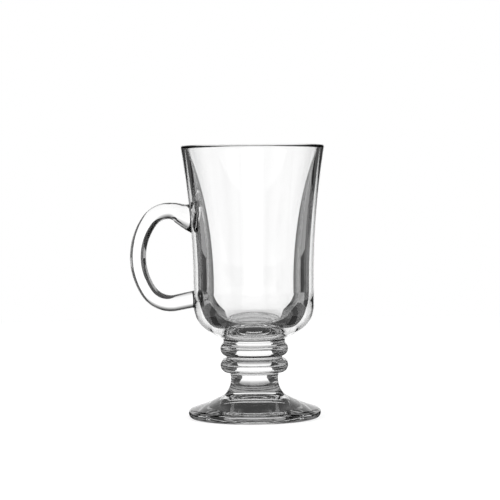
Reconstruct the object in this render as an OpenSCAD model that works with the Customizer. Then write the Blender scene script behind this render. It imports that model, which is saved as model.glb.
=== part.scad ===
// Clear glass mug for hot drinks: a flared bowl on a ringed stem and a round foot, with a bent rod handle.
// Lengths are in millimetres. The origin is on the axis at the table, +Z is up, the handle points to -X.
// The pieces are solid glass, joined hot on level faces, and the handle's ends lie on the bowl's outside.

/* [Bowl] */
// Height of the rim above the table
mug_h = 150; // [142:1:165]
// Outside diameter at the rim
rim_d = 78.8; // [74:0.2:84]
// Thickness of the rounded rim
rim_wall = 2.6; // [2:0.1:3.6]
// Outside diameter of the straight lower bowl
bowl_d = 66.2; // [62:0.2:70]
// Height of the straight stretch between the bottom corner and the flare
straight_h = 12; // [6:0.5:24]
// Radius of the outside corner at the bottom
corner_r = 16; // [13:0.5:18]
// Slope of the underside, from level
underside_slope = 27; // [22:1:34]
// Thickness of the wall round the straight lower bowl
bowl_wall = 7.6; // [5:0.1:10]
// Size of the soft corner round the well's floor, as a share of the well's radius
well_corner_share = 0.84; // [0.4:0.02:0.96]
// Thickness of the solid base under the well
base_t = 7.5; // [4.5:0.1:12]

/* [Handle] */
// Diameter of the rod
rod_d = 9; // [7.5:0.1:10.5]
// Distance from the mug's axis to the outside of the handle
handle_reach = 67.8; // [64:0.2:76]
// Height of the handle's middle above the bowl's underside
handle_rise = 45.1; // [42:0.1:50]
// Height of the loop between the rod's centrelines
loop_h = 50.8; // [46:0.2:56]
// Radius of the long bow, at the rod's centreline
bow_r = 34; // [31:0.5:40]
// Radius of the upper bend, at the rod's centreline
upper_bend_r = 13; // [11:0.2:15]
// Radius of the lower bend, at the rod's centreline
lower_bend_r = 14.6; // [11:0.2:15]
// Angle by which the upper root falls towards the bowl
upper_root_fall = 28; // [12:1:34]
// Angle by which the lower root climbs towards the bowl
lower_root_climb = 11; // [5:1:16]
// Diameter of the upper root at the bowl
upper_root_d = 13.2; // [10:0.1:15]
// Diameter of the lower root at the bowl
lower_root_d = 9.2; // [9:0.1:12]
// Radius of the fillet of glass round both roots
weld_r = 0.6; // [0.4:0.1:2]

/* [Collar and rings] */
// Diameter of the collar under the bowl
collar_d = 34.4; // [31:0.2:36]
// Height of the collar
collar_h = 2.6; // [1.6:0.1:4]
// Radius of the shallow hollow round the collar
collar_hollow_r = 4; // [2.5:0.1:8]
// Diameter over the rings
ring_d = 37.4; // [36.4:0.2:42]
// Radius of the rings' rounded edge
bead_r = 4.1; // [3.6:0.1:4.6]
// Diameter at the bottom of the groove between the rings
groove_d = 30.8; // [29.6:0.2:33]
// Height of the plain groove between the rounded edges
groove_h = 0.8; // [0.4:0.1:2]
// Height of the upper ring
upper_ring_h = 7.5; // [6:0.1:10]
// Height of the lower ring
lower_ring_h = 8.2; // [6:0.1:10]

/* [Stem] */
// Diameter at the stem's waist
waist_d = 26; // [22:0.2:29]
// Height of the stem
stem_h = 13; // [11:0.2:16]
// Height of the waist above the foot
waist_rise = 9.1; // [6.5:0.1:10]
// Radius of the stem's hollow outline
stem_curve_r = 12; // [11:0.2:16]

/* [Foot] */
// Diameter of the foot
foot_d = 72.6; // [66:0.2:80]
// Height of the foot at the stem
foot_h = 12.4; // [10:0.1:15]
// Radius of the foot's rounded edge
foot_edge_r = 2.7; // [2:0.1:3.4]
// Radius of the foot's hollow slope
foot_sweep_r = 100; // [60:2:160]
// Diameter of the hollow under the foot
foot_hollow_d = 47; // [40:0.5:61]
// Depth of the hollow under the foot, as a share of the foot's height
foot_hollow_share = 0.88; // [0.3:0.01:0.94]

/* [Hidden] */
$fn = 96;
glass_tint = [0.86, 0.91, 0.92, 0.45];

// Straight lines that stand for an arc
small_steps = 16;
large_steps = 28;
bend_steps = 7;
bow_steps = 14;
lead_steps = 4;
root_steps = 5;
weld_steps = 4;
rod_sides = 32;
// Sizes of the rings that close the rod's ends, as shares of the end's radius
end_shares = [0.7, 0.4];

// Heights of the pieces, stacked from the table
stem_z = foot_h;
lower_ring_z = stem_z + stem_h;
upper_ring_z = lower_ring_z + lower_ring_h;
collar_z = upper_ring_z + upper_ring_h;
bowl_z = collar_z + collar_h;

// Stem and foot
waist_r = waist_d / 2;
stem_foot_r = waist_r + stem_curve_r - sqrt(pow(stem_curve_r, 2) - pow(waist_rise, 2));
stem_top_reach = stem_h - waist_rise;
foot_edge = [foot_d / 2 - foot_edge_r, foot_edge_r];
foot_top = [stem_foot_r, foot_h];
foot_hollow_r = foot_hollow_d / 2;
foot_hollow_h = foot_hollow_share * foot_h;
foot_cap_r = (pow(foot_hollow_r, 2) + pow(foot_hollow_h, 2)) / (2 * foot_hollow_h);

// Rings
bead_c = ring_d / 2 - bead_r;
groove_r = groove_d / 2;
groove_angle = acos((groove_r - bead_c) / bead_r);
upper_bead_rise = groove_h / 2 + bead_r;
lower_bead_rise = lower_ring_h - groove_h / 2 - bead_r;

// Bowl: the underside's slope runs into the corner, and the flares run into the rounded rim
bowl_r = bowl_d / 2;
well_r = bowl_r - bowl_wall;
lip_r = rim_wall / 2;
lip = [rim_d / 2 - lip_r, mug_h - lip_r];
collar_r = collar_d / 2;
corner_end_r = bowl_r - corner_r + corner_r * sin(underside_slope);
slope_h = (corner_end_r - collar_r) * tan(underside_slope);
corner = [bowl_r - corner_r, bowl_z + slope_h + corner_r * cos(underside_slope)];
flare_z = corner[1] + straight_h;
floor_z = bowl_z + base_t;
well_corner_size = well_corner_share * well_r;
well_corner_z = floor_z + well_corner_size;
flare_r = outside_flare_r(bowl_r - lip[0], lip[1] - flare_z);
well_flare_r = inside_flare_r(well_r - lip[0], lip[1] - well_corner_z);
flare_angle = asin((lip[1] - flare_z) / (flare_r + lip_r));
well_flare_angle = asin((lip[1] - well_corner_z) / (well_flare_r - lip_r));

// Handle: a long bow between two bends, in the plane Y = 0
rod_r = rod_d / 2;
handle_z = bowl_z + handle_rise;
bow = [bow_r + rod_r - handle_reach, handle_z];
upper_bend = bend_centre(upper_bend_r, 1);
lower_bend = bend_centre(lower_bend_r, -1);
upper_turn = bend_turn(upper_bend);
lower_turn = bend_turn(lower_bend);

// Turns of the two bends at their level points and at their ends, where the straight roots begin
upper_level = 90;
lower_level = 270;
upper_end = upper_level - upper_root_fall;
lower_end = lower_level + lower_root_climb;
upper_root = upper_bend + upper_bend_r * [cos(upper_end), sin(upper_end)];
lower_root = lower_bend + lower_bend_r * [cos(lower_end), sin(lower_end)];
upper_root_way = [sin(upper_end), -cos(upper_end)];
lower_root_way = [-sin(lower_end), cos(lower_end)];

// Radius of a flare that leaves a wall upright and touches the rim's rounding from outside or inside
function outside_flare_r(across, up) =
    (pow(across, 2) + pow(up, 2) - pow(lip_r, 2)) / (2 * (lip_r - across));
function inside_flare_r(across, up) =
    (pow(across, 2) + pow(up, 2) - pow(lip_r, 2)) / (-2 * (across + lip_r));

// Centre of a bend that touches the long bow from inside, above or below the handle's middle
function bend_centre(r, side) =
    let(up = loop_h / 2 - r)
    bow + [-sqrt(pow(bow_r - r, 2) - pow(up, 2)), side * up];

// Angle of the point where the bow runs into a bend, seen from the bow's centre
function bend_turn(centre) = 180 - atan((centre[1] - bow[1]) / (bow[0] - centre[0]));

// Outside radius of the bowl at a height on its corner, its straight stretch or its flare
function outside_r(z) =
    z < corner[1]
    ? corner[0] + sqrt(pow(corner_r, 2) - pow(corner[1] - z, 2))
    : bowl_r + flare_r - sign(flare_r) * sqrt(pow(flare_r, 2) - pow(max(0, z - flare_z), 2));

// Distance from a point beside the bowl to its outside, along a way in the plane Y = 0
function way_to(p, way, r) = (-sqrt(pow(r, 2) - pow(p[1], 2)) - p[0]) / way[0];
function reach(p, way) =
    let(
        first = way_to(p, way, outside_r(p[2])),
        second = way_to(p, way, outside_r(p[2] + first * way[1]))
    )
    way_to(p, way, outside_r(p[2] + second * way[1]));

// Ring of points round the rod, square to its course
function rod_ring(centre, course, r) = [
    for (i = [0:rod_sides - 1])
        let(a = 360 * i / rod_sides, up = r * cos(a))
        [centre[0] - up * sin(course), r * sin(a), centre[1] + up * cos(course)]
];

// Rings round a stretch of rod that turns about a centre, one for each of some radii
function turn_rings(centre, r, from, to, radii) = [
    for (i = [0:len(radii) - 1])
        let(a = from + (to - from) * i / (len(radii) - 1))
        rod_ring(centre + r * [cos(a), sin(a)], a + 90, radii[i])
];

function plain_radii(steps) = [for (i = [0:steps]) rod_r];

// Radius of the rod at a share of the way along a root
function root_r(share, end_r) = rod_r + (end_r - rod_r) * pow(share, 2) * (3 - 2 * share);

// Radii round the end of a bend, as the rod begins to widen: the lead is a share of the whole root
function lead_radii(lead_share, end_r) =
    [for (i = [0:lead_steps]) root_r(lead_share * i / lead_steps, end_r)];

// Stations along a straight root as pairs, the share of the way to the bowl and the radius: first the
// widening root, then the fillet of glass, then the rings that close the end on the bowl
function root_stations(length, lead_share, end_r) = concat(
    [
        for (i = [1:root_steps])
            let(share = i / root_steps)
            [share * (1 - weld_r / length), root_r(lead_share + (1 - lead_share) * share, end_r)]
    ],
    [
        for (i = [1:weld_steps])
            let(a = 90 * i / weld_steps)
            [1 - weld_r * (1 - sin(a)) / length, end_r + weld_r * (1 - cos(a))]
    ],
    [for (share = end_shares) [1, share * (end_r + weld_r)]]
);

// Rings from the level point of a bend to the bowl, which turn from square to the rod to the bowl's shape
function root_rings(bend, bend_r, level, end, start, way, end_r) =
    let(
        length = reach([start[0], 0, start[1]], way),
        lead = bend_r * abs(end - level) * PI / 180,
        lead_share = lead / (lead + length - weld_r)
    )
    concat(
        turn_rings(bend, bend_r, level, end, lead_radii(lead_share, end_r)),
        [
            for (s = root_stations(length, lead_share, end_r))
                [for (p = rod_ring(start, end + 90, s[1])) p + s[0] * reach(p, way) * [way[0], 0, way[1]]]
        ]
    );

function root_end(start, way) =
    let(p = [start[0], 0, start[1]])
    p + reach(p, way) * [way[0], 0, way[1]];

function without_first(list) = [for (i = [1:len(list) - 1]) list[i]];
function without_last(list) = [for (i = [0:len(list) - 2]) list[i]];
function reversed(list) = [for (i = [len(list) - 1:-1:0]) list[i]];
function joined(lists) = [for (list = lists) each list];

// Centre of a circle of radius r through one point that touches a circle of radius edge_r from outside
function sweep_centre(point, r, edge, edge_r) =
    let(
        apart = norm(edge - point),
        along = (edge - point) / apart,
        near = (pow(r, 2) - pow(r + edge_r, 2) + pow(apart, 2)) / (2 * apart)
    )
    point + near * along + sqrt(pow(r, 2) - pow(near, 2)) * [-along[1], along[0]];

function bearing(from, to) = atan2(to[1] - from[1], to[0] - from[0]);

function arc(centre, r, from, to, steps) =
    [for (i = [0:steps]) let(a = from + (to - from) * i / steps) centre + r * [cos(a), sin(a)]];

// Corner from an upright wall down to a level floor, which bends most in its middle
function bent_share(share) = share < 0.5 ? 2 * pow(share, 2) : 1 - 2 * pow(1 - share, 2);
function sum_of(list, count) = count == 0 ? 0 : list[count - 1] + sum_of(list, count - 1);
function soft_corner(start, size, steps) =
    let(
        turns = [for (i = [0:steps - 1]) 90 * bent_share((i + 0.5) / steps)],
        inward = [for (a = turns) sin(a)],
        down = [for (a = turns) cos(a)],
        step = size / sum_of(down, steps)
    )
    [for (i = [0:steps]) start - step * [sum_of(inward, i), sum_of(down, i)]];

// Outside of the bowl from the underside to the middle of the rim
function bowl_outside() = concat(
    [[0, bowl_z], [collar_r, bowl_z]],
    arc(corner, corner_r, underside_slope - 90, 0, large_steps),
    arc([bowl_r + flare_r, flare_z], flare_r, 180, 180 - flare_angle, large_steps),
    arc(lip, lip_r, -flare_angle, 90, small_steps)
);

// Inside of the bowl from the middle of the rim to the well's floor
function bowl_inside() = concat(
    arc(lip, lip_r, 90, 180 - well_flare_angle, small_steps),
    arc([well_r + well_flare_r, well_corner_z], well_flare_r, 180 - well_flare_angle, 180, large_steps),
    soft_corner([well_r, well_corner_z], well_corner_size, large_steps),
    [[0, floor_z]]
);

module turned(points) {
    rotate_extrude()
        polygon(points);
}

// Closed rod through rings of points, with a middle point at either end
module rod(rings, first_end, last_end) {
    sides = len(rings[0]);
    last = len(rings) * sides;
    points = concat(joined(rings), [first_end, last_end]);
    walls = [
        for (k = [0:len(rings) - 2], i = [0:sides - 1])
            let(j = (i + 1) % sides, near = k * sides, far = near + sides)
            each [[near + i, near + j, far + i], [near + j, far + j, far + i]]
    ];
    ends = [
        for (i = [0:sides - 1])
            let(j = (i + 1) % sides, far = last - sides)
            each [[last, j, i], [last + 1, far + i, far + j]]
    ];
    polyhedron(points, concat(walls, ends));
}

// Solid ring with a rounded edge, its bead centred at bead_rise above its underside
module ring(h, bead_rise) {
    from = max(-asin(min(1, bead_rise / bead_r)), -groove_angle);
    to = min(asin(min(1, (h - bead_rise) / bead_r)), groove_angle);
    turned(concat(
        [[0, 0], [groove_r, 0]],
        arc([bead_c, bead_rise], bead_r, from, to, large_steps),
        [[groove_r, h], [0, h]]
    ));
}

module bowl() {
    color(glass_tint)
        turned(concat(bowl_outside(), bowl_inside()));
}

module handle() {
    upper_rings = root_rings(
        upper_bend, upper_bend_r, upper_level, upper_end, upper_root, upper_root_way, upper_root_d / 2
    );
    lower_rings = root_rings(
        lower_bend, lower_bend_r, lower_level, lower_end, lower_root, lower_root_way, lower_root_d / 2
    );
    bend_radii = plain_radii(bend_steps);
    bow_radii = plain_radii(bow_steps);
    color(glass_tint)
        rod(
            concat(
                reversed(upper_rings),
                without_first(turn_rings(upper_bend, upper_bend_r, upper_level, upper_turn, bend_radii)),
                without_first(turn_rings(bow, bow_r, upper_turn, lower_turn, bow_radii)),
                without_first(without_last(
                    turn_rings(lower_bend, lower_bend_r, lower_turn, lower_level, bend_radii)
                )),
                lower_rings
            ),
            root_end(upper_root, upper_root_way),
            root_end(lower_root, lower_root_way)
        );
}

module collar() {
    hollow = [collar_r + sqrt(pow(collar_hollow_r, 2) - pow(collar_h / 2, 2)), collar_h / 2];
    half_angle = asin(collar_h / 2 / collar_hollow_r);
    color(glass_tint)
        translate([0, 0, collar_z])
            turned(concat(
                [[0, 0]],
                arc(hollow, collar_hollow_r, 180 + half_angle, 180 - half_angle, small_steps),
                [[0, collar_h]]
            ));
}

module upper_ring() {
    color(glass_tint)
        translate([0, 0, upper_ring_z])
            ring(upper_ring_h, upper_bead_rise);
}

module lower_ring() {
    color(glass_tint)
        translate([0, 0, lower_ring_z])
            ring(lower_ring_h, lower_bead_rise);
}

module stem() {
    from = 180 + asin(waist_rise / stem_curve_r);
    to = 180 - asin(stem_top_reach / stem_curve_r);
    color(glass_tint)
        translate([0, 0, stem_z])
            turned(concat(
                [[0, 0]],
                arc([waist_r + stem_curve_r, waist_rise], stem_curve_r, from, to, large_steps),
                [[0, stem_h]]
            ));
}

module foot() {
    sweep = sweep_centre(foot_top, foot_sweep_r, foot_edge, foot_edge_r);
    cap = [0, foot_hollow_h - foot_cap_r];
    color(glass_tint)
        turned(concat(
            arc(cap, foot_cap_r, 90, bearing(cap, [foot_hollow_r, 0]), large_steps),
            arc(foot_edge, foot_edge_r, -90, bearing(foot_edge, sweep), small_steps),
            arc(sweep, foot_sweep_r, bearing(sweep, foot_edge), bearing(sweep, foot_top), large_steps),
            [[0, foot_h]]
        ));
}

bowl();
handle();
collar();
upper_ring();
lower_ring();
stem();
foot();
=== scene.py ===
"""Clear pressed-glass mug on a ringed stem and a round foot, with a bent rod handle.

Every piece is a closed mesh in its node's own place. The faces on which two pieces are fused hot
carry a material that shows nothing, so light runs on through the joint as it does in one body of glass.
"""

import math

import bmesh
import bpy
from bpy.props import FloatProperty, FloatVectorProperty, PointerProperty
from mathutils import Matrix, Vector


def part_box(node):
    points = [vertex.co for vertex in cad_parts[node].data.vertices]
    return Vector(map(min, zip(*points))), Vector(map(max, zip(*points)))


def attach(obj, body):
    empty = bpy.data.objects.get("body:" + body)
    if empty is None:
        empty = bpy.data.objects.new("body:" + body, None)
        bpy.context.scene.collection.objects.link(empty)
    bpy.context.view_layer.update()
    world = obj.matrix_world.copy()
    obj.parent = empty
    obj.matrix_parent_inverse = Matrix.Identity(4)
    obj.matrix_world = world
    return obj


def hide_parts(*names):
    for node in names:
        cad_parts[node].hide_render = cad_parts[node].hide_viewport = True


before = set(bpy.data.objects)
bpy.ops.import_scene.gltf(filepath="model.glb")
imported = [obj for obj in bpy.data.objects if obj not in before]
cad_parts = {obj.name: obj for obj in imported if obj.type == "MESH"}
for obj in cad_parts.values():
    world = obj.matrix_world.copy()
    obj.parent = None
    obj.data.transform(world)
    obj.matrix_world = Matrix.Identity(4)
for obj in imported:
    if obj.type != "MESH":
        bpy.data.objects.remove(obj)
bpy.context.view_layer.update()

bl_info = {
    "name": "Glass Coffee Mug",
    "version": (1, 0, 0),
    "blender": (4, 5, 0),
    "location": "View3D > Sidebar > Mug",
    "description": "Builds a clear glass mug piece by piece around its frame, with a small studio",
    "category": "Add Mesh",
}

# The boxes of the mug's pieces, in metres
BOWL_LOW, BOWL_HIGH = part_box("bowl")
COLLAR_LOW, COLLAR_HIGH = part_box("collar")
UPPER_RING_LOW, UPPER_RING_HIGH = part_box("upper_ring")
LOWER_RING_LOW, LOWER_RING_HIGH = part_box("lower_ring")
STEM_LOW, STEM_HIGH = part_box("stem")
FOOT_LOW, FOOT_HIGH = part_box("foot")

# Material slots of every piece
GLASS, JOINT = 0, 1

WHITE = (1, 1, 1, 1)

# Axes along which a glow fades
FLOOR_AXES, UP_AXIS, SIDE_AXIS = (1, 1, 0), (0, 0, 1), (1, 0, 0)

# Edges that bend more than this are creases
CREASE = math.radians(28)

# How far the floor, the papers and the shade lie below the foot's resting face, in metres
FLOOR_DROP = 0.0001
PAPER_DROP = 0.0002
SHADE_DROP = 0.001

# The camera's place in metres, its pitch and roll in degrees and its lens in millimetres
CAMERA_PLACE = (-0.00182, -1.34, 0.1604)
CAMERA_PITCH = 2.91
CAMERA_ROLL = -0.55
CAMERA_LENS = 175.9
CAMERA_SENSOR = 36

# The nearest and the farthest distance that the camera sees, in metres
CAMERA_CLIP = (0.05, 20)

# The softboxes' names, turns from the back in degrees and widths in metres
SOFTBOXES = (("softbox_left", 123, 0.9), ("softbox_right", 219.5, 0.6))

# Distance of the softboxes from the axis and the heights of their edges, in metres
SOFTBOX_DISTANCE, SOFTBOX_LOW, SOFTBOX_HIGH = 0.9, -0.6, 1.2

# The lamps' names, places, widths and heights in metres, and powers in watts
LAMPS = (
    ("lamp_left", (-0.72, -0.6, 0.55), 0.3, 0.8, 6),
    ("lamp_right", (0.55, -0.8, 0.55), 0.22, 0.8, 5),
    ("lamp_above", (0, 0, 1.5), 1.0, 1.0, 8),
)

# The point at which all lamps aim, in metres
LAMP_AIM = (0, 0, 0.08)

# Power by which a card's glow fades upwards
CARD_FADE = 3

# Steps round the axis, round the rod, along small and large arcs and across flats
ROUND_STEPS = 288
ROD_SIDES = 96
SMALL_STEPS = 24
LARGE_STEPS = 56
FLAT_STEPS = 6

# Rings across a root's outline on the bowl
PATCH_STEPS = 5

# Columns of the bowl's grid that the plots round the two roots take up
UPPER_PLOT_COLUMNS = 26
LOWER_PLOT_COLUMNS = 24

# Sides of the floor, and steps round the axis along a sheet of the studio
FLOOR_SIDES = 128
SHEET_STEPS = 12

# Heights that differ by less than this are the same, in metres
SAME_HEIGHT = 1e-7


def length(name, description, default):
    """A size in metres that a user can change."""
    return FloatProperty(
        name=name, description=description, default=default, min=0, precision=4, unit="LENGTH"
    )


def angle(name, description, degrees):
    """An angle that a user can change."""
    return FloatProperty(name=name, description=description, default=math.radians(degrees), subtype="ANGLE")


def colour(name, description, default):
    """A colour that a user can change."""
    return FloatVectorProperty(
        name=name, description=description, default=default, size=3, min=0, max=1, subtype="COLOR"
    )


def level(name, description, default):
    """A brightness or a share that a user can change."""
    return FloatProperty(name=name, description=description, default=default, min=0)


class MugSizes(bpy.types.PropertyGroup):
    """Sizes of the mug's pieces"""

    mug_height: length("Mug height", "Height of the rim above the table", BOWL_HIGH.z)
    rim_radius: length("Rim radius", "Outside radius at the rim", BOWL_HIGH.x)
    rim_wall: length("Rim wall", "Thickness of the rounded rim", 0.0026)
    bowl_radius: length("Bowl radius", "Outside radius of the straight lower bowl", 0.0331)
    straight_height: length("Straight height", "Height between the bottom corner and the flare", 0.012)
    corner_radius: length("Corner radius", "Radius of the outside corner at the bottom", 0.016)
    underside_slope: angle("Underside slope", "Slope of the bowl's underside, from level", 27)
    bowl_wall: length("Bowl wall", "Thickness of the wall round the straight lower bowl", 0.0076)
    well_corner_share: level("Well corner", "Size of the soft corner, as a share of the well's radius", 0.84)
    base_thickness: length("Base thickness", "Thickness of the solid base under the well", 0.0075)

    rod_radius: length("Rod radius", "Radius of the handle's rod", 0.0045)
    handle_reach: length("Handle reach", "Distance from the axis to the handle's outside", 0.0678)
    handle_rise: length("Handle rise", "Height of the handle's middle above the bowl's underside", 0.0451)
    loop_height: length("Loop height", "Height of the loop between the rod's centrelines", 0.0508)
    bow_radius: length("Bow radius", "Radius of the long bow, at the centreline", 0.034)
    upper_bend_radius: length("Upper bend", "Radius of the upper bend, at the centreline", 0.013)
    lower_bend_radius: length("Lower bend", "Radius of the lower bend, at the centreline", 0.0146)
    upper_root_fall: angle("Upper root fall", "Angle by which the upper root falls towards the bowl", 28)
    lower_root_climb: angle("Lower root climb", "Angle by which the lower root climbs to the bowl", 11)
    upper_root_radius: length("Upper root", "Radius of the upper root at the bowl", 0.0066)
    lower_root_radius: length("Lower root", "Radius of the lower root at the bowl", 0.0046)
    weld_radius: length("Weld fillet", "Radius of the fillet of glass round both roots", 0.0006)

    collar_radius: length("Collar radius", "Radius of the collar under the bowl", COLLAR_HIGH.x)
    collar_hollow: length("Collar hollow", "Radius of the shallow hollow round the collar", 0.004)
    ring_radius: length("Ring radius", "Radius over the rings", UPPER_RING_HIGH.x)
    bead_radius: length("Bead radius", "Radius of the rings' rounded edge", 0.0041)
    groove_radius: length("Groove radius", "Radius at the bottom of the groove", 0.0154)
    groove_height: length("Groove height", "Height of the plain groove between the rings", 0.0008)

    waist_radius: length("Waist radius", "Radius at the stem's waist", 0.013)
    waist_rise: length("Waist rise", "Height of the waist above the foot", 0.0091)
    stem_curve: length("Stem curve", "Radius of the stem's hollow outline", 0.012)

    foot_radius: length("Foot radius", "Radius of the foot", FOOT_HIGH.x)
    foot_edge: length("Foot edge", "Radius of the foot's rounded edge", 0.0027)
    foot_sweep: length("Foot sweep", "Radius of the foot's hollow slope", 0.1)
    foot_hollow_radius: length("Foot hollow", "Radius of the hollow under the foot", 0.0235)
    foot_hollow_share: level(
        "Foot hollow depth", "Depth of the hollow, as a share of the foot's height", 0.88
    )


class MugGlass(bpy.types.PropertyGroup):
    """Tint and surface of the glass"""

    clear_tint: colour("Clear tint", "Tint of the clearest glass", (0.99, 0.99, 0.99))
    deep_tint: colour("Deep tint", "Tint of the faint streaks in the glass", (0.972, 0.972, 0.972))
    refraction: level("Refraction", "Index of refraction of the glass", 1.52)
    wave_height: length("Wave height", "Height of the faint waves left by pressing", 0.000008)
    polish: level("Polish", "Roughness of the fire-polished surface", 0.004)


class MugStudio(bpy.types.PropertyGroup):
    """Floor, papers, walls, cards, softboxes and room"""

    floor_radius: length("Floor radius", "Radius of the pale floor", 0.7)
    floor_colour: colour("Floor colour", "Colour of the floor in the lamps' light", (0.35, 0.35, 0.35))
    floor_glow: level("Floor glow", "Brightness that the floor adds for the camera", 0.72)
    paper_level: level("Paper level", "Brightness of the white papers laid round the mug", 1.05)
    # The papers are dimmer next to the foot, fading up to full brightness at paper clear: painted shade of
    # the mug on the papers
    paper_shade_level: level("Paper near level", "Brightness of the papers next to the foot", 0.25)
    paper_start: length("Paper start", "Distance from the axis at which the white papers begin", 0.03)
    paper_clear: length("Paper clear", "Distance from the axis at which the papers are fully bright", 0.13)
    paper_spread: angle("Paper spread", "Angle between the middle of the back paper and its edges", 23)
    front_start: angle("Front start", "Turn from the back at which the front paper begins", 105)
    shade_level: level("Shade level", "Brightness of the shaded floor", 0.03)
    spill_level: level("Spill level", "Brightness of the light that spills on the shaded floor", 0.32)
    spill_near: length("Spill near", "Distance from the axis at which the spill begins", 0.15)
    spill_start: angle("Spill start", "Turn from the back at which the spill begins", 45)
    spill_end: angle("Spill end", "Turn from the back at which the spill ends", 75)
    # The dim sheet under the foot's hollow is painted shade of the foot on the floor
    under_shade_level: level("Under level", "Brightness of the floor under the foot's hollow", 0.06)
    wall_distance: length("Wall distance", "Distance of the walls behind the mug from the axis", 0.6)
    wall_start: angle("Wall start", "Turn from the back at which the walls begin", 22)
    shade_start: angle("Shade start", "Turn from the back at which the dark stretch of the walls begins", 36)
    shade_end: angle("Shade end", "Turn from the back at which the dark stretch of the walls ends", 60)
    wall_end: angle("Wall end", "Turn from the back at which the walls end", 85)
    back_wall_level: level("Back wall level", "Brightness of the walls' foot behind the mug", 0.12)
    side_wall_level: level("Side wall level", "Brightness of the walls' foot beside the mug", 0.4)
    shade_top: length("Shade top", "Height of the dark stretch of the walls", 0.055)
    low_wall_top: length("Low wall top", "Height of the lit foot of the walls", 0.12)
    high_wall_level: level("High wall level", "Brightness of the top of the walls", 0.3)
    high_wall_low: length("High wall low", "Height at which the lit top of the walls begins", 0.6)
    high_wall_top: length("High wall top", "Height of the walls", 1.2)
    card_level: level("Card level", "Brightness of the white cards behind and before the mug", 1.1)
    side_card_level: level("Side card level", "Brightness of the cards and papers beside the mug", 0.6)
    card_distance: length("Card distance", "Distance of the white cards from the axis", 0.48)
    card_width: length("Card width", "Width of a white card", 0.38)
    card_height: length("Card height", "Height of a white card", 0.65)
    card_bright_height: length("Bright height", "Height up to which a card is evenly bright", 0.18)
    softbox_level: level("Softbox level", "Brightness of the softboxes in the glass", 0.8)
    wall_level: level("Wall level", "Brightness of the dim studio walls in the glass", 0.01)
    room_level: level("Room level", "Brightness of the room on dull surfaces", 0.5)


class MugShape:
    """Levels, radii and arc centres that follow from the sizes. Points are (radius, height), in metres."""

    def __init__(self, sizes):
        self.sizes = sizes
        self.lip_r = sizes.rim_wall / 2
        self.lip = (sizes.rim_radius - self.lip_r, sizes.mug_height - self.lip_r)
        slope = sizes.underside_slope
        bowl_r, corner_r = sizes.bowl_radius, sizes.corner_radius
        slope_end_r = bowl_r - corner_r + corner_r * math.sin(slope)
        slope_rise = (slope_end_r - sizes.collar_radius) * math.tan(slope)
        self.corner = (bowl_r - corner_r, BOWL_LOW.z + slope_rise + corner_r * math.cos(slope))
        self.flare_z = self.corner[1] + sizes.straight_height
        self.flare_r = self.flare_radius(bowl_r, self.flare_z, self.lip_r)
        self.flare_angle = math.asin((self.lip[1] - self.flare_z) / (self.flare_r + self.lip_r))

        self.well_r = bowl_r - sizes.bowl_wall
        self.floor_z = BOWL_LOW.z + sizes.base_thickness
        self.well_corner_size = sizes.well_corner_share * self.well_r
        self.well_corner_z = self.floor_z + self.well_corner_size
        self.well_flare_r = self.flare_radius(self.well_r, self.well_corner_z, -self.lip_r)
        well_rise = self.lip[1] - self.well_corner_z
        self.well_flare_angle = math.asin(well_rise / (self.well_flare_r - self.lip_r))

        self.stem_foot_r = self.stem_radius(0)
        self.stem_top_r = self.stem_radius(STEM_HIGH.z - STEM_LOW.z)

    def flare_radius(self, wall_r, start_z, lip_r):
        """Radius of an arc that leaves an upright wall and touches the rim's rounding."""
        across, up = wall_r - self.lip[0], self.lip[1] - start_z
        return (across**2 + up**2 - lip_r**2) / (2 * (lip_r - across))

    def stem_radius(self, height):
        """Radius of the stem at a height above the foot."""
        sizes = self.sizes
        drop = height - sizes.waist_rise
        return sizes.waist_radius + sizes.stem_curve - math.sqrt(sizes.stem_curve**2 - drop**2)

    def bowl_radius_at(self, height):
        """Outside radius of the bowl at a height on its corner, its straight stretch or its flare."""
        if height < self.corner[1]:
            drop = self.corner[1] - height
            return self.corner[0] + math.sqrt(self.sizes.corner_radius**2 - drop**2)
        climb = max(0, height - self.flare_z)
        return self.sizes.bowl_radius + self.flare_r - math.sqrt(self.flare_r**2 - climb**2)

    def on_bowl(self, turn, height):
        """The point on the bowl's outside at a turn from the handle's side and a height."""
        radius = self.bowl_radius_at(height)
        return Vector((-radius * math.cos(turn), radius * math.sin(turn), height))


def arc(centre, radius, start, end, steps):
    """Points along an arc in a plane, from one angle to another in radians."""
    return [
        (
            centre[0] + radius * math.cos(start + (end - start) * i / steps),
            centre[1] + radius * math.sin(start + (end - start) * i / steps),
        )
        for i in range(steps + 1)
    ]


def soft_corner(start, size, steps):
    """Points along a corner from an upright wall down to a level floor, which bends most in its middle."""
    turns = []
    for i in range(steps):
        share = (i + 0.5) / steps
        bent_share = 2 * share**2 if share < 0.5 else 1 - 2 * (1 - share) ** 2
        turns.append(bent_share * math.pi / 2)
    step = size / sum(math.cos(turn) for turn in turns)
    points = [start]
    for turn in turns:
        radius, height = points[-1]
        points.append((radius - step * math.sin(turn), height - step * math.cos(turn)))
    return points


def spread(start, end, steps):
    """Evenly spaced values from one to another."""
    return [start + (end - start) * i / steps for i in range(steps + 1)]


def bearing(origin, target):
    """Angle of one point seen from another."""
    return math.atan2(target[1] - origin[1], target[0] - origin[0])


def lathe(bm, runs, gaps=()):
    """Turns runs of (material, points) about the axis. Cells named in gaps as (ring, column) stay open."""
    rings, slots = [], []
    for slot, points in runs:
        for radius, height in points[1:] if rings else points:
            turns = [0] if radius == 0 else [2 * math.pi * j / ROUND_STEPS for j in range(ROUND_STEPS)]
            rings.append(
                [bm.verts.new((-radius * math.cos(t), radius * math.sin(t), height)) for t in turns]
            )
        slots += [slot] * (len(points) - 1)
    for k, slot in enumerate(slots):
        near, far = rings[k], rings[k + 1]
        for j in range(ROUND_STEPS):
            if (k, j) not in gaps:
                add_face(bm, corners_between(near, far, j), slot)
    return rings


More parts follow.
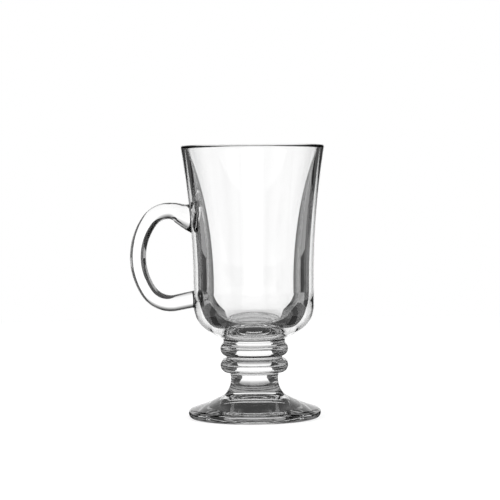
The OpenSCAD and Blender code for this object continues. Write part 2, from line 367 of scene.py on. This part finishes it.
def corners_between(near, far, j):
    """The corners of one face between two rings, either of which may be a single point."""
    following = [near[j % len(near)], near[(j + 1) % len(near)]]
    returning = [far[(j + 1) % len(far)], far[j % len(far)]]
    return list(dict.fromkeys(following + returning))


def add_face(bm, corners, slot):
    """A smooth face in one of the piece's material slots."""
    face = bm.faces.new(corners)
    face.material_index = slot
    face.smooth = True


def skin(bm, near, far, slot):
    """Faces between two rings of vertices."""
    for j in range(max(len(near), len(far))):
        add_face(bm, corners_between(near, far, j), slot)


def make_piece(bm, name, node, materials):
    """Finishes the mesh of a piece and puts the piece in its node's place."""
    bmesh.ops.recalc_face_normals(bm, faces=bm.faces)
    for edge in bm.edges:
        first, second = edge.link_faces
        creased = edge.calc_face_angle() > CREASE
        edge.smooth = first.material_index == second.material_index and not creased
    mesh = bpy.data.meshes.new(name)
    bm.to_mesh(mesh)
    bm.free()
    for material in materials:
        mesh.materials.append(material)
    piece = bpy.data.objects.new(name, mesh)
    bpy.context.scene.collection.objects.link(piece)
    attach(piece, "root")
    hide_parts(node)


# The handle


class RodCourse:
    """The rod's rings of points from the upper root to the lower one, and the outlines of its ends."""

    bend_steps = 24
    bow_steps = 48
    lead_steps = 10
    root_steps = 18
    weld_steps = 10
    reach_rounds = 8

    def __init__(self, shape):
        self.shape = shape
        sizes = shape.sizes
        self.rod_r = sizes.rod_radius
        self.middle = BOWL_LOW.z + sizes.handle_rise
        self.bow = (sizes.bow_radius + self.rod_r - sizes.handle_reach, self.middle)
        up, down = math.pi / 2, 3 * math.pi / 2
        upper_bend_r, lower_bend_r = sizes.upper_bend_radius, sizes.lower_bend_radius
        upper_bend = self.bend_centre(upper_bend_r, 1)
        lower_bend = self.bend_centre(lower_bend_r, -1)
        upper_turn = bearing(self.bow, upper_bend) % (2 * math.pi)
        lower_turn = bearing(self.bow, lower_bend) % (2 * math.pi)
        upper_rings = self.root_rings(
            upper_bend, upper_bend_r, up, -sizes.upper_root_fall, sizes.upper_root_radius
        )
        lower_rings = self.root_rings(
            lower_bend, lower_bend_r, down, sizes.lower_root_climb, sizes.lower_root_radius
        )
        self.rings = (
            upper_rings[::-1]
            + self.turn_rings(upper_bend, upper_bend_r, up, upper_turn, self.bend_steps)[1:]
            + self.turn_rings(self.bow, sizes.bow_radius, upper_turn, lower_turn, self.bow_steps)[1:-1]
            + self.turn_rings(lower_bend, lower_bend_r, lower_turn, down, self.bend_steps)[:-1]
            + lower_rings
        )
        self.upper_outline = self.outline(upper_rings[-1])
        self.lower_outline = self.outline(lower_rings[-1])

    def bend_centre(self, radius, side):
        """Centre of a bend that touches the long bow from inside, above or below the handle's middle."""
        up = self.shape.sizes.loop_height / 2 - radius
        across = math.sqrt((self.shape.sizes.bow_radius - radius) ** 2 - up**2)
        return (self.bow[0] - across, self.bow[1] + side * up)

    def ring(self, centre, course, radius):
        """Points round the rod, square to its course."""
        points = []
        for i in range(ROD_SIDES):
            turn = 2 * math.pi * i / ROD_SIDES
            up = radius * math.cos(turn)
            points.append(
                Vector(
                    (
                        centre[0] - up * math.sin(course),
                        radius * math.sin(turn),
                        centre[1] + up * math.cos(course),
                    )
                )
            )
        return points

    def turn_ring(self, centre, radius, turn, rod_r):
        """A ring round the rod where it turns about a centre."""
        place = (centre[0] + radius * math.cos(turn), centre[1] + radius * math.sin(turn))
        return self.ring(place, turn + math.pi / 2, rod_r)

    def turn_rings(self, centre, radius, start, end, steps):
        """Rings round a stretch of plain rod that turns about a centre."""
        return [self.turn_ring(centre, radius, turn, self.rod_r) for turn in spread(start, end, steps)]

    def reach(self, point, way):
        """Distance from a point beside the bowl to its outside, along a way in the handle's plane."""
        distance = 0
        for _ in range(self.reach_rounds):
            radius = self.shape.bowl_radius_at(point.z + distance * way[1])
            distance = (-math.sqrt(radius**2 - point.y**2) - point.x) / way[0]
        return distance

    def root_radius(self, share, end_r):
        """Radius of the rod at a share of the way along a root."""
        return self.rod_r + (end_r - self.rod_r) * share**2 * (3 - 2 * share)

    def root_rings(self, bend, bend_r, level, tilt, end_r):
        """Rings from the level point of a bend to the bowl, which widen and end in a fillet on the bowl."""
        weld = self.shape.sizes.weld_radius
        turn = level + tilt
        course = turn + math.pi / 2
        side = math.copysign(1, tilt)
        way = (side * math.cos(course), side * math.sin(course))
        start = Vector((bend[0] + bend_r * math.cos(turn), 0, bend[1] + bend_r * math.sin(turn)))
        run = self.reach(start, way)
        bent, straight = bend_r * abs(tilt), run - weld
        whole = bent + straight
        stations = [
            (share * straight / run, self.root_radius((bent + share * straight) / whole, end_r))
            for share in spread(0, 1, self.root_steps)[1:]
        ]
        for weld_turn in spread(0, math.pi / 2, self.weld_steps)[1:]:
            rise, widening = 1 - math.sin(weld_turn), 1 - math.cos(weld_turn)
            stations.append((1 - weld * rise / run, end_r + weld * widening))
        ahead = Vector((way[0], 0, way[1]))
        return [
            self.turn_ring(
                bend, bend_r, level + tilt * share, self.root_radius(share * bent / whole, end_r)
            )
            for share in spread(0, 1, self.lead_steps)
        ] + [
            [p + share * self.reach(p, way) * ahead for p in self.ring((start.x, start.z), course, radius)]
            for share, radius in stations
        ]

    def outline(self, ring):
        """A root's outline on the bowl, as turns from the handle's side and heights."""
        return [(math.atan2(p.y, -p.x), p.z) for p in ring]


def patch_rings(outline, steps):
    """Rings that fill a root's outline on the bowl, and the point in its middle."""
    middle = (sum(p[0] for p in outline) / len(outline), sum(p[1] for p in outline) / len(outline))
    shares = spread(1, 0, steps)[1:-1]
    return [between(outline, middle, share) for share in shares], middle


def between(outline, middle, share):
    """An outline drawn in towards its middle."""
    return [tuple(m + (p - m) * share for p, m in zip(point, middle)) for point in outline]


def fill_outline(bm, shape, edge, outline):
    """Joint faces that fill a root's outline on the bowl."""
    rings, middle = patch_rings(outline, PATCH_STEPS)
    near = edge
    for ring in rings:
        far = [bm.verts.new(shape.on_bowl(*p)) for p in ring]
        skin(bm, near, far, JOINT)
        near = far
    skin(bm, near, [bm.verts.new(shape.on_bowl(*middle))], JOINT)


def build_handle(shape):
    """The bent rod with its two roots, whose ends lie on the bowl."""
    course = RodCourse(shape)
    bm = bmesh.new()
    rings = [[bm.verts.new(p) for p in ring] for ring in course.rings]
    for near, far in zip(rings, rings[1:]):
        skin(bm, near, far, GLASS)
    fill_outline(bm, shape, rings[0], course.upper_outline)
    fill_outline(bm, shape, rings[-1], course.lower_outline)
    return bm


# The bowl


class RootPlot:
    """The part of the bowl's grid round one root: its columns, its rows and the height of each row."""

    margin = 0.003
    rings = 8

    def __init__(self, outline, columns, downward):
        self.outline = outline
        self.columns = columns
        self.rows = ROD_SIDES // 2 - columns
        self.downward = downward
        heights = [p[1] for p in outline]
        self.heights = spread(min(heights) - self.margin, max(heights) + self.margin, self.rows)

    def border(self):
        """Cells round the plot as (row, column), in the order of the rod's sides."""
        half = self.columns // 2
        first, last = (0, self.rows) if self.downward else (self.rows, 0)
        step = 1 if self.downward else -1
        along = [(first, j) for j in range(half)]
        across = [(k, half) for k in range(first, last, step)]
        back = [(last, j) for j in range(half, -half, -1)]
        home = [(k, -half) for k in range(last, first, -step)]
        return along + across + back + home + [(first, j) for j in range(-half, 0)]


def build_bowl(shape):
    """The flared bowl with its well, its rounded rim and the two plots where the handle is welded on."""
    sizes = shape.sizes
    course = RodCourse(shape)
    lower = RootPlot(course.lower_outline, LOWER_PLOT_COLUMNS, False)
    upper = RootPlot(course.upper_outline, UPPER_PLOT_COLUMNS, True)
    up = math.pi / 2

    corner_stop = -math.asin((shape.corner[1] - lower.heights[0]) / sizes.corner_radius)
    flare_top = shape.lip[1] - shape.lip_r * math.sin(shape.flare_angle)
    heights = (
        lower.heights
        + spread(lower.heights[-1], upper.heights[0], LARGE_STEPS // 2)[1:-1]
        + upper.heights
        + spread(upper.heights[-1], flare_top, LARGE_STEPS // 2)[1:]
    )
    base = [(0, BOWL_LOW.z), (sizes.collar_radius, BOWL_LOW.z)]
    corner = arc(shape.corner, sizes.corner_radius, sizes.underside_slope - up, corner_stop, LARGE_STEPS // 2)
    slope = [
        (base[1][0] + (corner[0][0] - base[1][0]) * s, base[1][1] + (corner[0][1] - base[1][1]) * s)
        for s in spread(0, 1, FLAT_STEPS)[:-1]
    ]
    wall = [(shape.bowl_radius_at(z), z) for z in heights]
    lip = arc(shape.lip, shape.lip_r, -shape.flare_angle, math.pi - shape.well_flare_angle, SMALL_STEPS * 2)
    well_centre = (shape.well_r + shape.well_flare_r, shape.well_corner_z)
    well = arc(well_centre, shape.well_flare_r, math.pi - shape.well_flare_angle, math.pi, LARGE_STEPS)
    well_corner = soft_corner((shape.well_r, shape.well_corner_z), shape.well_corner_size, LARGE_STEPS)
    floor = [(well_corner[-1][0] * s, shape.floor_z) for s in spread(1, 0, FLAT_STEPS)]

    outside = slope + corner[:-1] + wall
    inside = lip[1:] + well[1:] + well_corner[1:] + floor[1:]
    first_row = len(base) + len(slope) + len(corner) - 2
    starts = {lower: first_row, upper: first_row + heights.index(upper.heights[0])}
    gaps = set()
    for plot, start in starts.items():
        half = plot.columns // 2
        gaps |= {
            (start + k, j % ROUND_STEPS) for k in range(plot.rows) for j in range(-half, half)
        }

    bm = bmesh.new()
    rings = lathe(bm, [(JOINT, base), (GLASS, outside + inside)], gaps)
    for plot, start in starts.items():
        border = [rings[start + k][j % ROUND_STEPS] for k, j in plot.border()]
        places = [(2 * math.pi * j / ROUND_STEPS, plot.heights[k]) for k, j in plot.border()]
        near = border
        for share in spread(0, 1, plot.rings)[1:]:
            ring = [
                tuple(a + (b - a) * share for a, b in zip(place, point))
                for place, point in zip(places, plot.outline)
            ]
            far = [bm.verts.new(shape.on_bowl(*p)) for p in ring]
            skin(bm, near, far, GLASS)
            near = far
        fill_outline(bm, shape, near, plot.outline)
    return bm


# The collar, the rings, the stem and the foot


def build_collar(shape):
    """The short neck under the bowl, with a shallow hollow round it."""
    sizes = shape.sizes
    half = (COLLAR_HIGH.z - COLLAR_LOW.z) / 2
    turn = math.asin(half / sizes.collar_hollow)
    centre = (sizes.collar_radius + sizes.collar_hollow * math.cos(turn), COLLAR_LOW.z + half)
    side = arc(centre, sizes.collar_hollow, math.pi + turn, math.pi - turn, SMALL_STEPS)
    bm = bmesh.new()
    lathe(
        bm,
        [
            (JOINT, [(0, COLLAR_LOW.z), side[0]]),
            (GLASS, side),
            (JOINT, [side[-1], (0, COLLAR_HIGH.z)]),
        ],
    )
    return bm


def build_ring(shape, low, high, bead_z, lower_joint_r, upper_joint_r):
    """A solid ring with a rounded edge, fused to its neighbours inside two radii."""
    sizes = shape.sizes
    bead = (sizes.ring_radius - sizes.bead_radius, bead_z)
    groove = math.acos((sizes.groove_radius - bead[0]) / sizes.bead_radius)
    start = max(-math.asin(min(1, (bead_z - low) / sizes.bead_radius)), -groove)
    end = min(math.asin(min(1, (high - bead_z) / sizes.bead_radius)), groove)
    side = arc(bead, sizes.bead_radius, start, end, LARGE_STEPS)
    below = [(lower_joint_r, low)] + [p for p in side if p[1] > low + SAME_HEIGHT or p[0] > lower_joint_r]
    glass = below + [(upper_joint_r, high)]
    bm = bmesh.new()
    lathe(bm, [(JOINT, [(0, low), glass[0]]), (GLASS, glass), (JOINT, [glass[-1], (0, high)])])
    return bm


def build_upper_ring(shape):
    """The ring under the collar."""
    sizes = shape.sizes
    low, high = UPPER_RING_LOW.z, UPPER_RING_HIGH.z
    bead_z = low + sizes.groove_height / 2 + sizes.bead_radius
    return build_ring(shape, low, high, bead_z, sizes.groove_radius, sizes.collar_radius)


def build_lower_ring(shape):
    """The ring over the stem."""
    sizes = shape.sizes
    low, high = LOWER_RING_LOW.z, LOWER_RING_HIGH.z
    bead_z = high - sizes.groove_height / 2 - sizes.bead_radius
    return build_ring(shape, low, high, bead_z, shape.stem_top_r, sizes.groove_radius)


def build_stem(shape):
    """The waisted piece between the rings and the foot."""
    side = [
        (shape.stem_radius(z - STEM_LOW.z), z) for z in spread(STEM_LOW.z, STEM_HIGH.z, LARGE_STEPS)
    ]
    bm = bmesh.new()
    lathe(
        bm,
        [(JOINT, [(0, STEM_LOW.z), side[0]]), (GLASS, side), (JOINT, [side[-1], (0, STEM_HIGH.z)])],
    )
    return bm


def sweep_centre(point, radius, edge, edge_r):
    """Centre of a circle through a point that touches the foot's rounded edge from outside."""
    along = Vector(edge) - Vector(point)
    apart = along.length
    along /= apart
    near = (radius**2 - (radius + edge_r) ** 2 + apart**2) / (2 * apart)
    side = math.sqrt(radius**2 - near**2)
    centre = Vector(point) + near * along + side * Vector((-along.y, along.x))
    return tuple(centre)


def build_foot(shape):
    """The round sloping foot with a rounded edge and a hollow underside."""
    sizes = shape.sizes
    top = (shape.stem_foot_r, FOOT_HIGH.z)
    edge = (sizes.foot_radius - sizes.foot_edge, sizes.foot_edge)
    depth, hollow_r = sizes.foot_hollow_share * FOOT_HIGH.z, sizes.foot_hollow_radius
    cap_r = (hollow_r**2 + depth**2) / (2 * depth)
    cap = (0, depth - cap_r)
    sweep = sweep_centre(top, sizes.foot_sweep, edge, sizes.foot_edge)
    hollow = arc(cap, cap_r, math.pi / 2, bearing(cap, (hollow_r, 0)), LARGE_STEPS)
    hollow[0] = (0, depth)
    rim = arc(edge, sizes.foot_edge, -math.pi / 2, bearing(edge, sweep), SMALL_STEPS * 2)
    slope = arc(sweep, sizes.foot_sweep, bearing(sweep, edge), bearing(sweep, top), LARGE_STEPS)
    bm = bmesh.new()
    lathe(bm, [(GLASS, hollow + rim + slope[1:]), (JOINT, [slope[-1], (0, FOOT_HIGH.z)])])
    return bm


# Materials


def new_node(tree, kind, values=None, **settings):
    """A node with some of its settings and sockets filled in."""
    node = tree.nodes.new(kind)
    for name, value in settings.items():
        setattr(node, name, value)
    for name, value in (values or {}).items():
        node.inputs[name].default_value = value
    return node


def join(tree, *links):
    """Links between nodes, each as (node, output, node, input)."""
    for source, output, target, socket in links:
        tree.links.new(source.outputs[output], target.inputs[socket])


def pressed_surface():
    """Node group for the marks of pressing: faint streaks of tint, soft waves and dull wipe marks."""
    known = bpy.data.node_groups.get("Pressed surface")
    if known:
        return known
    group = bpy.data.node_groups.new("Pressed surface", "ShaderNodeTree")
    for name, kind in (
        ("Clear Tint", "NodeSocketColor"),
        ("Deep Tint", "NodeSocketColor"),
        ("Wave Scale", "NodeSocketFloat"),
        ("Wipe Scale", "NodeSocketFloat"),
        ("Polish", "NodeSocketFloat"),
    ):
        group.interface.new_socket(name, in_out="INPUT", socket_type=kind)
    for name, kind in (
        ("Tint", "NodeSocketColor"),
        ("Roughness", "NodeSocketFloat"),
        ("Height", "NodeSocketFloat"),
    ):
        group.interface.new_socket(name, in_out="OUTPUT", socket_type=kind)
    source = new_node(group, "NodeGroupInput")
    result = new_node(group, "NodeGroupOutput")
    place = new_node(group, "ShaderNodeTexCoord")
    waves = new_node(group, "ShaderNodeTexNoise", {"Detail": 1.0, "Roughness": 0.4})
    wipes = new_node(group, "ShaderNodeTexNoise", {"Detail": 4.0, "Roughness": 0.6, "Distortion": 0.8})
    dull = new_node(group, "ShaderNodeMapRange", {"From Min": 0.5, "From Max": 0.8, "To Max": 2.5})
    rough = new_node(group, "ShaderNodeMath", operation="MULTIPLY")
    tint = new_node(group, "ShaderNodeMix", data_type="RGBA")
    join(
        group,
        (place, "Object", waves, "Vector"),
        (place, "Object", wipes, "Vector"),
        (source, "Wave Scale", waves, "Scale"),
        (source, "Wipe Scale", wipes, "Scale"),
        (wipes, "Fac", dull, "Value"),
        (dull, "Result", rough, 0),
        (source, "Polish", rough, 1),
        (waves, "Fac", tint, "Factor"),
        (source, "Clear Tint", tint, "A"),
        (source, "Deep Tint", tint, "B"),
        (tint, "Result", result, "Tint"),
        (rough, "Value", result, "Roughness"),
        (waves, "Fac", result, "Height"),
    )
    return group


def empty_material(name):
    """A material with only its output node."""
    material = bpy.data.materials.new(name)
    material.use_nodes = True
    material.node_tree.nodes.clear()
    return material, new_node(material.node_tree, "ShaderNodeOutputMaterial")


def glass_material(name, wave_scale, wipe_scale):
    """Clear glass with the marks of pressing at a piece's own scale."""
    known = bpy.data.materials.get(name)
    if known:
        return known
    glass = bpy.context.scene.mug_glass
    material, output = empty_material(name)
    tree = material.node_tree
    surface = new_node(
        tree,
        "ShaderNodeGroup",
        {
            "Clear Tint": (*glass.clear_tint, 1),
            "Deep Tint": (*glass.deep_tint, 1),
            "Wave Scale": wave_scale,
            "Wipe Scale": wipe_scale,
            "Polish": glass.polish,
        },
        node_tree=pressed_surface(),
    )
    bump = new_node(tree, "ShaderNodeBump", {"Strength": 1.0, "Distance": glass.wave_height})
    shader = new_node(
        tree, "ShaderNodeBsdfPrincipled", {"Transmission Weight": 1.0, "IOR": glass.refraction}
    )
    join(
        tree,
        (surface, "Tint", shader, "Base Color"),
        (surface, "Roughness", shader, "Roughness"),
        (surface, "Height", bump, "Height"),
        (bump, "Normal", shader, "Normal"),
        (shader, "BSDF", output, "Surface"),
    )
    return material


def joint_material():
    """The faces on which two pieces are fused, which show nothing."""
    known = bpy.data.materials.get("Fused joint")
    if known:
        return known
    material, output = empty_material("Fused joint")
    clear = new_node(material.node_tree, "ShaderNodeBsdfTransparent")
    join(material.node_tree, (clear, "BSDF", output, "Surface"))
    return material


# The studio


def build_world(studio):
    """White for the camera, dim walls in the glass, and a plain room for dull surfaces."""
    world = bpy.data.worlds.new("Studio")
    bpy.context.scene.world = world
    world.use_nodes = True
    tree = world.node_tree
    tree.nodes.clear()
    output = new_node(tree, "ShaderNodeOutputWorld")
    path = new_node(tree, "ShaderNodeLightPath")
    white = new_node(tree, "ShaderNodeBackground", {"Color": WHITE, "Strength": 1.0})
    room = new_node(tree, "ShaderNodeBackground", {"Color": WHITE, "Strength": studio.room_level})
    walls = new_node(tree, "ShaderNodeBackground", {"Color": WHITE, "Strength": studio.wall_level})
    in_glass = new_node(tree, "ShaderNodeMath", operation="MAXIMUM")
    to_walls = new_node(tree, "ShaderNodeMixShader")
    to_white = new_node(tree, "ShaderNodeMixShader")
    join(
        tree,
        (path, "Is Glossy Ray", in_glass, 0),
        (path, "Is Transmission Ray", in_glass, 1),
        (in_glass, "Value", to_walls, "Fac"),
        (room, "Background", to_walls, 1),
        (walls, "Background", to_walls, 2),
        (path, "Is Camera Ray", to_white, "Fac"),
        (to_walls, "Shader", to_white, 1),
        (white, "Background", to_white, 2),
        (to_white, "Shader", output, "Surface"),
    )


def stage_piece(name, bm, material):
    """A piece of the stage."""
    mesh = bpy.data.meshes.new(name)
    bm.to_mesh(mesh)
    bm.free()
    mesh.materials.append(material)
    piece = bpy.data.objects.new(name, mesh)
    bpy.context.scene.collection.objects.link(piece)
    return piece


def floor_material(studio):
    """Pale floor that shows white round the object and keeps its shadow."""
    material, output = empty_material("Pale floor")
    tree = material.node_tree
    path = new_node(tree, "ShaderNodeLightPath")
    dull = new_node(tree, "ShaderNodeBsdfDiffuse", {"Color": (*studio.floor_colour, 1)})
    white = new_node(tree, "ShaderNodeMath", {1: studio.floor_glow}, operation="MULTIPLY")
    glow = new_node(tree, "ShaderNodeEmission")
    both = new_node(tree, "ShaderNodeAddShader")
    join(
        tree,
        (path, "Is Camera Ray", white, 0),
        (white, "Value", glow, "Strength"),
        (dull, "BSDF", both, 0),
        (glow, "Emission", both, 1),
        (both, "Shader", output, "Surface"),
    )
    return material


def build_floor(studio):
    """The floor, a pale disc under the mug."""
    bm = bmesh.new()
    bmesh.ops.create_circle(bm, cap_ends=True, segments=FLOOR_SIDES, radius=studio.floor_radius)
    floor = stage_piece("floor", bm, floor_material(studio))
    floor.location.z = -FLOOR_DROP
    floor.visible_glossy = floor.visible_transmission = False


def glow_material(name, near_level, far_level, axes, near, far, power=1):
    """A glow that changes from one level to another with the distance from its middle, along some axes."""
    material, output = empty_material(name)
    tree = material.node_tree
    place = new_node(tree, "ShaderNodeTexCoord")
    along = new_node(tree, "ShaderNodeVectorMath", {1: axes}, operation="MULTIPLY")
    distance = new_node(tree, "ShaderNodeVectorMath", operation="LENGTH")
    share = new_node(tree, "ShaderNodeMapRange", {"From Min": far, "From Max": near})
    bend = new_node(tree, "ShaderNodeMath", {1: power}, operation="POWER")
    strength = new_node(tree, "ShaderNodeMapRange", {"To Min": far_level, "To Max": near_level})
    glow = new_node(tree, "ShaderNodeEmission", {"Color": WHITE})
    join(
        tree,
        (place, "Object", along, 0),
        (along, "Vector", distance, 0),
        (distance, "Value", share, "Value"),
        (share, "Result", bend, 0),
        (bend, "Value", strength, "Value"),
        (strength, "Result", glow, "Strength"),
        (glow, "Emission", output, "Surface"),
    )
    return material


def even_glow(name, strength):
    """A glow of one level."""
    return glow_material(name, strength, strength, UP_AXIS, 0, 1)


def unseen_sheet(name, outlines, material):
    """A sheet of the studio that the glass sees and the camera doesn't."""
    bm = bmesh.new()
    for outline in outlines:
        bm.faces.new([bm.verts.new(corner) for corner in outline])
    piece = stage_piece(name, bm, material)
    piece.visible_camera = piece.visible_diffuse = piece.visible_shadow = False
    return piece


def sheet(inner, outer, start, end):
    """Outlines of a sheet round the axis, between two turns from the back. Edges are (distance, height)."""
    turns = spread(start, end, SHEET_STEPS)
    return [
        [
            (-edge[0] * math.sin(turn), edge[0] * math.cos(turn), edge[1])
            for edge, turn in ((inner, first), (inner, second), (outer, second), (outer, first))
        ]
        for first, second in zip(turns, turns[1:])
    ]


def sheet_pair(inner, outer, start, end):
    """Outlines of a sheet on the left and of its mirror image on the right."""
    return sheet(inner, outer, start, end) + sheet(inner, outer, -end, -start)


def build_papers(studio):
    """White papers on the floor, behind and beside the mug and round its front, dimmer next to the foot as
    painted shade, over a shaded floor and a dim sheet of painted shade under the foot.
    """
    near, reach = studio.paper_start, studio.wall_distance
    far = studio.card_distance / math.cos(studio.paper_spread)
    start, end = studio.front_start, 2 * math.pi - studio.front_start
    papers = sheet((near, -PAPER_DROP), (far, -PAPER_DROP), -studio.paper_spread, studio.paper_spread)
    papers += sheet((near, -PAPER_DROP), (far, -PAPER_DROP), start, end)
    # The papers' glow is dimmer next to the foot: painted shade of the mug
    levels = studio.paper_shade_level, studio.paper_level
    unseen_sheet("papers", papers, glow_material("Paper", *levels, FLOOR_AXES, near, studio.paper_clear))
    spill_edge = (studio.spill_near, -PAPER_DROP)
    beside = sheet_pair(spill_edge, (far, -PAPER_DROP), studio.spill_end, start)
    unseen_sheet("side_papers", beside, even_glow("Side paper", studio.side_card_level))
    spill = sheet_pair(spill_edge, (reach, -PAPER_DROP), studio.spill_start, studio.spill_end)
    unseen_sheet("spill", spill, even_glow("Spill", studio.spill_level))
    # A dim sheet under the foot's hollow: painted shade under the foot
    under = even_glow("Shade under foot", studio.under_shade_level)
    unseen_sheet("shade_under_foot", [floor_square(near, SHADE_DROP)], under)
    shade = even_glow("Shaded floor", studio.shade_level)
    unseen_sheet("shaded_floor", [floor_square(reach, 2 * SHADE_DROP)], shade)


def build_walls(studio):
    """The walls behind the mug on both sides, lit at their foot and at their top."""
    foot, over_shade = (0, studio.low_wall_top), (studio.shade_top, studio.low_wall_top)
    top = (studio.high_wall_low, studio.high_wall_top)
    for name, start, end, heights, strength in (
        ("back_wall", studio.wall_start, studio.shade_start, foot, studio.back_wall_level),
        ("middle_wall", studio.shade_start, studio.shade_end, over_shade, studio.side_wall_level),
        ("side_wall", studio.shade_end, studio.wall_end, foot, studio.side_wall_level),
        ("high_wall", studio.wall_start, studio.wall_end, top, studio.high_wall_level),
    ):
        low, high = ((studio.wall_distance, height) for height in heights)
        unseen_sheet(name, sheet_pair(low, high, start, end), even_glow(name, strength))


def floor_square(reach, drop):
    """A square about the axis, a little under the floor."""
    return [(-reach, -reach, -drop), (reach, -reach, -drop), (reach, reach, -drop), (-reach, reach, -drop)]


def build_card(name, turn, distance, width, low, high, material):
    """An upright card or softbox that faces the axis."""
    half = width / 2
    outline = [(-half, 0, low), (half, 0, low), (half, 0, high), (-half, 0, high)]
    card = unseen_sheet(name, [outline], material)
    card.matrix_world = Matrix.Rotation(turn, 4, "Z") @ Matrix.Translation((0, distance, 0))


def build_lamp(name, place, width, height, power):
    """A soft rectangular lamp."""
    data = bpy.data.lights.new(name, "AREA")
    data.shape = "RECTANGLE"
    data.size, data.size_y, data.energy = width, height, power
    lamp = bpy.data.objects.new(name, data)
    lamp.location = place
    lamp.rotation_euler = (Vector(LAMP_AIM) - Vector(place)).to_track_quat("-Z", "Y").to_euler()
    lamp.visible_camera = lamp.visible_glossy = lamp.visible_transmission = False
    bpy.context.scene.collection.objects.link(lamp)


def build_camera():
    """Camera at the photograph's place: nearly level, from the front, a little above the rim."""
    data = bpy.data.cameras.new("Camera")
    data.lens, data.sensor_width = CAMERA_LENS, CAMERA_SENSOR
    data.clip_start, data.clip_end = CAMERA_CLIP
    camera = bpy.data.objects.new("Camera", data)
    bpy.context.scene.collection.objects.link(camera)
    tilt = Matrix.Rotation(math.pi / 2 - math.radians(CAMERA_PITCH), 4, "X")
    roll = Matrix.Rotation(math.radians(CAMERA_ROLL), 4, "Z")
    camera.matrix_world = Matrix.Translation(CAMERA_PLACE) @ tilt @ roll
    bpy.context.scene.camera = camera


# Operators


class MUG_OT_bowl(bpy.types.Operator):
    """Builds the flared bowl"""

    bl_idname = "mug.bowl"
    bl_label = "Bowl"

    def execute(self, context):
        materials = [glass_material("Bowl glass", wave_scale=34, wipe_scale=60), joint_material()]
        bm = build_bowl(MugShape(context.scene.mug_sizes))
        make_piece(bm, "bowl_body", "bowl", materials)
        return {"FINISHED"}


class MUG_OT_handle(bpy.types.Operator):
    """Builds the bent rod handle"""

    bl_idname = "mug.handle"
    bl_label = "Handle"

    def execute(self, context):
        materials = [glass_material("Handle glass", wave_scale=90, wipe_scale=120), joint_material()]
        bm = build_handle(MugShape(context.scene.mug_sizes))
        make_piece(bm, "handle_rod", "handle", materials)
        return {"FINISHED"}


class MUG_OT_stem(bpy.types.Operator):
    """Builds the collar, the two rings and the waisted stem"""

    bl_idname = "mug.stem"
    bl_label = "Collar, rings and stem"

    def execute(self, context):
        shape = MugShape(context.scene.mug_sizes)
        materials = [glass_material("Stem glass", wave_scale=80, wipe_scale=90), joint_material()]
        make_piece(build_collar(shape), "collar_neck", "collar", materials)
        make_piece(build_upper_ring(shape), "upper_ring_bead", "upper_ring", materials)
        make_piece(build_lower_ring(shape), "lower_ring_bead", "lower_ring", materials)
        make_piece(build_stem(shape), "stem_waist", "stem", materials)
        return {"FINISHED"}


class MUG_OT_foot(bpy.types.Operator):
    """Builds the round foot"""

    bl_idname = "mug.foot"
    bl_label = "Foot"

    def execute(self, context):
        materials = [glass_material("Foot glass", wave_scale=60, wipe_scale=80), joint_material()]
        bm = build_foot(MugShape(context.scene.mug_sizes))
        make_piece(bm, "foot_disc", "foot", materials)
        return {"FINISHED"}


class MUG_OT_stage(bpy.types.Operator):
    """Builds the room, the floor, the sheets that the glass sees, the lamps and the camera"""

    bl_idname = "mug.stage"
    bl_label = "Studio"

    def execute(self, context):
        studio = context.scene.mug_studio
        context.scene.view_settings.view_transform = "Standard"
        build_world(studio)
        build_floor(studio)
        build_papers(studio)
        build_walls(studio)
        low, high = studio.card_bright_height, studio.card_height
        for name, turn, glow in (
            ("card_back", 0, studio.card_level),
            ("card_left", 90, studio.side_card_level),
            ("card_front", 180, studio.card_level),
            ("card_right", 270, studio.side_card_level),
        ):
            white = glow_material(name, glow, 0, UP_AXIS, low, high, CARD_FADE)
            build_card(name, math.radians(turn), studio.card_distance, studio.card_width, 0, high, white)
        low, high = SOFTBOX_LOW, SOFTBOX_HIGH
        for name, turn, width in SOFTBOXES:
            glow = glow_material(name, studio.softbox_level, 0, SIDE_AXIS, 0, width / 2)
            build_card(name, math.radians(turn), SOFTBOX_DISTANCE, width, low, high, glow)
        for lamp in LAMPS:
            build_lamp(*lamp)
        build_camera()
        return {"FINISHED"}


class MUG_PT_pieces(bpy.types.Panel):
    """Lists the mug's pieces, sizes and studio"""

    bl_idname = "MUG_PT_pieces"
    bl_label = "Glass mug"
    bl_space_type = "VIEW_3D"
    bl_region_type = "UI"
    bl_category = "Mug"

    def draw(self, context):
        for operator in OPERATORS:
            self.layout.operator(operator.bl_idname)
        for group in (context.scene.mug_sizes, context.scene.mug_glass, context.scene.mug_studio):
            column = self.layout.column()
            for name in group.__annotations__:
                column.prop(group, name)


GROUPS = {"mug_sizes": MugSizes, "mug_glass": MugGlass, "mug_studio": MugStudio}
OPERATORS = (MUG_OT_bowl, MUG_OT_handle, MUG_OT_stem, MUG_OT_foot, MUG_OT_stage)
CLASSES = (*GROUPS.values(), *OPERATORS, MUG_PT_pieces)


def register():
    for cls in CLASSES:
        bpy.utils.register_class(cls)
    for name, group in GROUPS.items():
        setattr(bpy.types.Scene, name, PointerProperty(type=group))


def unregister():
    for name in GROUPS:
        delattr(bpy.types.Scene, name)
    for cls in reversed(CLASSES):
        bpy.utils.unregister_class(cls)


def main():
    register()
    bpy.ops.mug.bowl()
    bpy.ops.mug.handle()
    bpy.ops.mug.stem()
    bpy.ops.mug.foot()
    bpy.ops.mug.stage()


if __name__ == "__main__":
    main()
